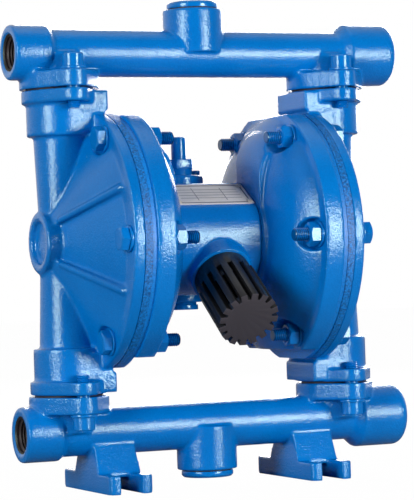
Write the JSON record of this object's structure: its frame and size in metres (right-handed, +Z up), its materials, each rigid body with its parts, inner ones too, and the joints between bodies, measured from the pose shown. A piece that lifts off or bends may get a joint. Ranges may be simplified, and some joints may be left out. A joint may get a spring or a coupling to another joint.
{
  "type": "air operated double diaphragm pump",
  "caption": "Compact air operated double diaphragm pump with threaded ports, ball check valves, slotted feet, an exhaust muffler and a blue enamel finish.",
  "frame": {"origin": "on the floor plane under the middle of the shaft, at the centre of the open bolt channels of the feet", "axes": "+X along the shaft and both manifolds towards the closed manifold ends, so the threaded ports open towards -X; -Y towards the muffler and label side; +Z up, along the ball columns"},
  "size_m": [0.2546, 0.1613, 0.298],
  "materials": {
    "blue_castings": "glossy blue enamel over a cast surface",
    "blue_fasteners": "glossy blue enamel over hexagon and socket screws",
    "diaphragm_rubber": "matt black rubber, painted blue at the rim",
    "seals": "matt black rubber",
    "balls": "smooth white PTFE",
    "seats": "turned stainless steel",
    "steel": "ground and turned steel",
    "aluminium_parts": "plain turned or rolled aluminium",
    "bronze": "turned bronze",
    "muffler_plastic": "black moulded plastic"
  },
  "bodies": {
    "pump": {"outlet_manifold": "blue_castings", "inlet_manifold": "blue_castings", "outlet_plug": "blue_castings", "inlet_plug": "blue_castings", "plug_seals": "seals", "left_outer_cover": "blue_castings", "left_inner_cover": "blue_castings", "left_diaphragm": "diaphragm_rubber", "left_backup_diaphragm": "diaphragm_rubber", "left_cover_bolts": "blue_fasteners", "left_cover_nuts": "blue_fasteners", "left_cover_washers": "blue_fasteners", "left_outlet_seat": "seats", "left_inlet_seat": "seats", "right_outer_cover": "blue_castings", "right_inner_cover": "blue_castings", "right_diaphragm": "diaphragm_rubber", "right_backup_diaphragm": "diaphragm_rubber", "right_cover_bolts": "blue_fasteners", "right_cover_nuts": "blue_fasteners", "right_cover_washers": "blue_fasteners", "right_outlet_seat": "seats", "right_inlet_seat": "seats", "manifold_gaskets": "seals", "manifold_bolts": "blue_fasteners", "manifold_washers": "blue_fasteners", "seat_rings": "seals", "centre_body": "blue_castings", "inner_cover_gaskets": "seals", "inner_cover_screws": "steel", "shaft_bushes": "bronze", "shaft_seals": "seals", "muffler": "muffler_plastic", "label_plate": "aluminium_parts", "label_rivets": "aluminium_parts", "valve_body": "blue_castings", "valve_gasket": "seals", "valve_screws": "blue_fasteners", "valve_sleeve": "bronze", "valve_top_cap": "blue_castings", "valve_bottom_cap": "blue_castings", "cap_screws": "blue_fasteners", "button_spring": "steel"},
    "shaft_assembly": {"shaft": "steel", "left_inner_plate": "aluminium_parts", "left_outer_plate": "steel", "left_shaft_nut": "steel", "right_inner_plate": "aluminium_parts", "right_outer_plate": "steel", "right_shaft_nut": "steel"},
    "left_outlet_check": {"left_outlet_ball": "balls"},
    "left_inlet_check": {"left_inlet_ball": "balls"},
    "right_outlet_check": {"right_outlet_ball": "balls"},
    "right_inlet_check": {"right_inlet_ball": "balls"},
    "valve_spool": {"spool": "aluminium_parts"},
    "reset_push": {"reset_button": "blue_castings"}
  },
  "joints": [
    {"name": "shaft_slide", "type": "slide", "parent": "pump", "child": "shaft_assembly", "axis": [1, 0, 0], "range_m": [-0.008, 0.008], "deforming": ["left_diaphragm", "left_backup_diaphragm", "right_diaphragm", "right_backup_diaphragm"]},
    {"name": "left_outlet_ball_lift", "type": "slide", "parent": "pump", "child": "left_outlet_check", "axis": [0, 0, 1], "range_m": [0, 0.007]},
    {"name": "left_inlet_ball_lift", "type": "slide", "parent": "pump", "child": "left_inlet_check", "axis": [0, 0, 1], "range_m": [0, 0.007]},
    {"name": "right_outlet_ball_lift", "type": "slide", "parent": "pump", "child": "right_outlet_check", "axis": [0, 0, 1], "range_m": [0, 0.007]},
    {"name": "right_inlet_ball_lift", "type": "slide", "parent": "pump", "child": "right_inlet_check", "axis": [0, 0, 1], "range_m": [0, 0.007]},
    {"name": "spool_slide", "type": "slide", "parent": "pump", "child": "valve_spool", "axis": [0, 0, 1], "range_m": [-0.006, 0.006]},
    {"name": "reset_button_press", "type": "slide", "parent": "pump", "child": "reset_push", "axis": [0, 0, -1], "range_m": [0, 0.004], "stiffness_N_per_m": 300, "springref_m": -0.002, "deforming": ["button_spring"]}
  ]
}
